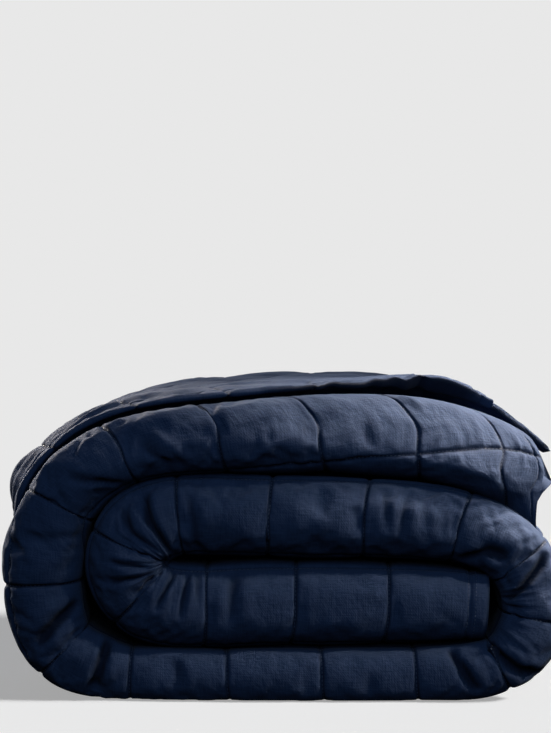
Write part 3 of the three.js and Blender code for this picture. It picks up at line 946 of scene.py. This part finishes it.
thread_path = cloth + normal * THREAD_RISE
thread_path[..., 2] = np.maximum(STITCH_LENGTH / 2, thread_path[..., 2])
front_rows = on_fold[:, 0] > WHOLLY
flap_rows = (on_flap[:, 0] > WHOLLY) & (across[:, 0] >= 0) & (across[:, 0] < INNER_PANEL_AT - 0.5)
seen = np.abs(fold_round) < finer(level.quarter * np.ones(shape)) * SEEN_PAST_FOLD
for column, place in enumerate(along[0]):
    cross_seam = on_whole_number(place) and FIRST_SEAM_FROM < place < LAST_SEAM_TO
    if cross_seam or np.abs(END_LINES - place).min() < SAME_PLACE:
        sew(thread_path[front_rows & seen[:, column], column])
        if place > FLAP_SHOWS_FROM:
            sew(thread_path[flap_rows, column])
for row in np.nonzero(on_whole_number(across).all(axis=1))[0]:
    if front_rows[row] and across[row, 0] > FOLD_AT - 1.5:
        sew(thread_path[row, to_end[row] > HEM_WIDTH])
    elif flap_rows[row]:
        sew(thread_path[row, (to_end[row] > HEM_WIDTH) & (along[row] > FLAP_SHOWS_FROM)])
stitch_mesh = bpy.data.meshes.new("seam_lines")
stitch_mesh.from_pydata(seam_points, seam_edges, [])
seam_lines = bpy.data.objects.new("seam_lines", stitch_mesh)
bpy.context.collection.objects.link(seam_lines)

navy_thread = bpy.data.materials.new("navy_thread")
navy_thread.use_nodes = True
thread_tree = navy_thread.node_tree
thread_shader = thread_tree.nodes["Principled BSDF"]
thread_place = node(thread_tree, "ShaderNodeTexCoord").outputs["Object"]
flecks = node(
    thread_tree, "ShaderNodeTexNoise", {"Vector": thread_place, "Scale": THREAD_FLECKS}
).outputs["Fac"]
thread_dye = blend(thread_tree, flecks, DEEP_THREAD, WORN_THREAD)
thread_tree.links.new(thread_dye, thread_shader.inputs["Base Color"])
thread_shader.inputs["Roughness"].default_value = 0.6
thread_shader.inputs["Specular IOR Level"].default_value = 0.3

sewing = bpy.data.node_groups.new("machine_stitches", "GeometryNodeTree")
sewing.interface.new_socket("Seams", in_out="INPUT", socket_type="NodeSocketGeometry")
for name in ("Stitch pitch", "Stitch length", "Thread"):
    sewing.interface.new_socket(name, in_out="INPUT", socket_type="NodeSocketFloat")
sewing.interface.new_socket("Stitch seed", in_out="INPUT", socket_type="NodeSocketInt")
sewing.interface.new_socket("Stitches", in_out="OUTPUT", socket_type="NodeSocketGeometry")
given = node(sewing, "NodeGroupInput").outputs
as_curve = node(sewing, "GeometryNodeMeshToCurve", {"Mesh": given["Seams"]}).outputs["Curve"]
spaced = node(
    sewing, "GeometryNodeResampleCurve",
    {"Curve": as_curve, "Length": given["Stitch pitch"]}, mode="LENGTH",
).outputs["Curve"]
bead = node(sewing, "GeometryNodeMeshIcoSphere", {"Radius": 0.5, "Subdivisions": 1}).outputs["Mesh"]
seam_run = node(sewing, "GeometryNodeInputTangent").outputs["Tangent"]
laid = node(
    sewing, "FunctionNodeAlignRotationToVector", {"Vector": seam_run}, axis="Z"
).outputs["Rotation"]
uneven = node(
    sewing, "FunctionNodeRandomValue",
    {"Min": SHORT_STITCH, "Max": LONG_STITCH, "Seed": given["Stitch seed"]}, data_type="FLOAT",
)
uneven_value = next(out for out in uneven.outputs if out.enabled)
stitch_long = node(
    sewing, "ShaderNodeMath", {0: given["Stitch length"], 1: uneven_value}, operation="MULTIPLY"
).outputs[0]
stitch_size = node(
    sewing, "ShaderNodeCombineXYZ", {"X": given["Thread"], "Y": given["Thread"], "Z": stitch_long}
).outputs[0]
beads = node(
    sewing, "GeometryNodeInstanceOnPoints",
    {"Points": spaced, "Instance": bead, "Rotation": laid, "Scale": stitch_size},
).outputs["Instances"]
real = node(sewing, "GeometryNodeRealizeInstances", {"Geometry": beads}).outputs["Geometry"]
threaded = node(
    sewing, "GeometryNodeSetMaterial", {"Geometry": real, "Material": navy_thread}
).outputs["Geometry"]
node(sewing, "NodeGroupOutput", {"Stitches": threaded})

sewer = seam_lines.modifiers.new("machine_stitches", "NODES")
sewer.node_group = sewing
given_values = {
    "Stitch pitch": STITCH_PITCH * MM,
    "Stitch length": STITCH_LENGTH * MM,
    "Thread": THREAD * MM,
    "Stitch seed": STITCH_SEED,
}
for socket in sewing.interface.items_tree:
    if socket.name in given_values:
        sewer[socket.identifier] = given_values[socket.name]
sewn_mesh = bpy.data.meshes.new_from_object(
    seam_lines.evaluated_get(bpy.context.evaluated_depsgraph_get())
)
sewn_mesh.name = "stitching"
bpy.data.objects.remove(seam_lines)
stitching = bpy.data.objects.new("stitching", sewn_mesh)
bpy.context.collection.objects.link(stitching)
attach(stitching, "root")

# The studio
# A plain pale cove of paper that glows a little, so that it is as even as a lit studio wall. It is
# hidden from the light that bounces, which leaves the folds dark. Lengths here are in metres.
COVE_RADIUS, COVE_BEND, COVE_HEIGHT = 14.0, 3.0, 14.0
FLOOR_RINGS = (0.01, 0.8, 3.0)
COVE_SIDES, BEND_STEPS = 72, 16
PAPER_SHADE, PAPER_GLOW, WALL_GLOW = 0.8, 0.36, 0.807
NEAR_PAPER, FAR_PAPER = 0.45, 1.3
cove_line = [(radius, 0.0) for radius in FLOOR_RINGS]
for step in range(BEND_STEPS + 1):
    angle = math.pi / 2 * step / BEND_STEPS
    across_bend, up_bend = COVE_BEND * math.sin(angle), COVE_BEND * (1 - math.cos(angle))
    cove_line.append((COVE_RADIUS - COVE_BEND + across_bend, up_bend))
cove_line.append((COVE_RADIUS, COVE_HEIGHT))
cove_points, cove_faces = [], []
for ring, (radius, height) in enumerate(cove_line):
    for side in range(COVE_SIDES):
        angle = 2 * math.pi * side / COVE_SIDES
        cove_points.append((radius * math.cos(angle), radius * math.sin(angle), height))
        if ring:
            here, before = ring * COVE_SIDES, (ring - 1) * COVE_SIDES
            beyond = (side + 1) % COVE_SIDES
            cove_faces.append((before + side, here + side, here + beyond, before + beyond))
sweep_mesh = bpy.data.meshes.new("paper_sweep")
sweep_mesh.from_pydata(cove_points, [], cove_faces)
sweep_mesh.shade_smooth()
sweep = bpy.data.objects.new("paper_sweep", sweep_mesh)
bpy.context.collection.objects.link(sweep)
sweep.visible_diffuse = False
sweep.visible_glossy = False
sweep.visible_shadow = False
paper = bpy.data.materials.new("pale_paper")
paper.use_nodes = True
paper_tree = paper.node_tree
paper_shader = paper_tree.nodes["Principled BSDF"]
paper_place = node(paper_tree, "ShaderNodeTexCoord").outputs["Object"]
from_middle = node(paper_tree, "ShaderNodeVectorMath", {0: paper_place}, operation="LENGTH")
far_off = node(
    paper_tree, "ShaderNodeMapRange",
    {"Value": from_middle.outputs["Value"], "From Min": NEAR_PAPER, "From Max": FAR_PAPER},
    interpolation_type="SMOOTHSTEP",
).outputs[0]
shade = sums(paper_tree, "MULTIPLY_ADD", far_off, -PAPER_SHADE, PAPER_SHADE)
glow = sums(paper_tree, "MULTIPLY_ADD", far_off, WALL_GLOW - PAPER_GLOW, PAPER_GLOW)
paper_tree.links.new(shade, paper_shader.inputs["Base Color"])
paper_tree.links.new(glow, paper_shader.inputs["Emission Strength"])
paper_shader.inputs["Emission Color"].default_value = (1, 1, 1, 1)
paper_shader.inputs["Roughness"].default_value = 1.0
paper_shader.inputs["Specular IOR Level"].default_value = 0.0
sweep_mesh.materials.append(paper)

# One low sun lights the paper, so that the quilt's shadow lies beside it. All other lights are
# for the quilt alone.
lit_paper = bpy.data.collections.new("lit_paper")
lit_paper.objects.link(sweep)
lit_quilt = bpy.data.collections.new("lit_quilt")
for piece in (quilt, stitching):
    lit_quilt.objects.link(piece)


def aim_light(name, kind, place, target, watts, colour):
    light = bpy.data.lights.new(name, kind)
    light.energy = watts
    light.color = colour
    lamp = bpy.data.objects.new(name, light)
    lamp.location = place
    lamp.visible_camera = False
    away = np.array(place) - np.array(target)
    lamp.rotation_euler = (
        math.atan2(math.hypot(away[0], away[1]), away[2]),
        0.0,
        math.atan2(away[0], -away[1]),
    )
    bpy.context.collection.objects.link(lamp)
    lamp.light_linking.receiver_collection = lit_paper if kind == "SUN" else lit_quilt
    return light


# Round soft lights on the whole roll, with their width
ROLL_MIDDLE = (0, 0, 0.15)
SOFT_LIGHTS = (
    # name, place, watts, colour, width
    ("key_light", (2.0, 1.2, 1.8), 25, (1, 0.98, 0.95), 1.0),
    ("front_light", (0.3, -3.0, 1.9), 46, (0.6, 0.8, 1), 2.4),
    ("back_light", (-1.9, 2.0, 1.4), 140, (0.95, 0.97, 1), 1.8),
)
for name, place, watts, colour, width in SOFT_LIGHTS:
    soft_light = aim_light(name, "AREA", place, ROLL_MIDDLE, watts, colour)
    soft_light.shape = "DISK"
    soft_light.size = width

SUN_PLACE, SUN_STRENGTH, SUN_ANGLE = (2.0, -0.24, 1.5), 2.86, 12
paper_sun = aim_light("paper_sun", "SUN", SUN_PLACE, (0, 0, 0), SUN_STRENGTH, (1, 1, 1))
paper_sun.angle = math.radians(SUN_ANGLE)

# Spots on the outer end, the turn below it and the flap, with the angle of their cones
OUTER_CORNER = (0.25, -0.22, 0.26)
OUTER_TOP = (0.22, -0.22, 0.26)
RIGHT_TURN = (0.24, -0.26, 0.19)
FLAP_LEFT = (-0.21, -0.15, 0.28)
SPOT_SOFTNESS = 0.2
SPOTS = (
    # name, place, target, watts, colour, degrees
    ("back_spot", (1.3, 0.3, 2.1), OUTER_CORNER, 2000, (1, 0.8, 0.58), 15.5),
    ("top_spot", (1.5, -0.05, 2.0), OUTER_TOP, 700, (1, 0.8, 0.58), 15),
    ("side_spot", (2.0, -0.7, 1.4), RIGHT_TURN, 1400, (1, 0.82, 0.62), 6.5),
    ("flap_spot", (-1.5, 1.8, 1.3), FLAP_LEFT, 1100, (1, 0.85, 0.7), 8),
)
for name, place, target, watts, colour, degrees in SPOTS:
    spot = aim_light(name, "SPOT", place, target, watts, colour)
    spot.spot_size = math.radians(degrees)
    spot.spot_blend = 1.0
    spot.shadow_soft_size = SPOT_SOFTNESS

world = bpy.data.worlds.new("studio")
world.use_nodes = True
sky = world.node_tree.nodes["Background"]
sky.inputs["Color"].default_value = (0.8, 0.9, 1, 1)
sky.inputs["Strength"].default_value = 0.02
bpy.context.scene.world = world
bpy.context.scene.view_settings.view_transform = "Standard"

# The camera
# It stands in front and a little above, so that the top of the roll just shows. It is aimed so that
# the middle of the front comes to the aim pixel of the picture.
PICTURE = (551, 733)
SENSOR = 36.0
PIXELS_PER_METRE = 968.0
CAMERA_DISTANCE = 2.15
CAMERA_ELEVATION = math.radians(6.5)
AIM_POINT = np.array([-0.003, -0.29, 0.16])
AIM_PIXEL = (281.7, 547.5)
focal_pixels = PIXELS_PER_METRE * CAMERA_DISTANCE
rise_angle = math.atan((AIM_PIXEL[1] - PICTURE[1] / 2) / focal_pixels)
pan_angle = math.atan((AIM_PIXEL[0] - PICTURE[0] / 2) / focal_pixels)
camera_data = bpy.data.cameras.new("camera")
camera_data.sensor_fit = "HORIZONTAL"
camera_data.sensor_width = SENSOR
camera_data.lens = SENSOR * focal_pixels / PICTURE[0]
camera = bpy.data.objects.new("camera", camera_data)
camera.location = AIM_POINT + CAMERA_DISTANCE * np.array(
    [0.0, -math.cos(CAMERA_ELEVATION), math.sin(CAMERA_ELEVATION)]
)
camera.rotation_euler = (math.pi / 2 - CAMERA_ELEVATION + rise_angle, 0.0, pan_angle)
bpy.context.collection.objects.link(camera)
bpy.context.scene.camera = camera
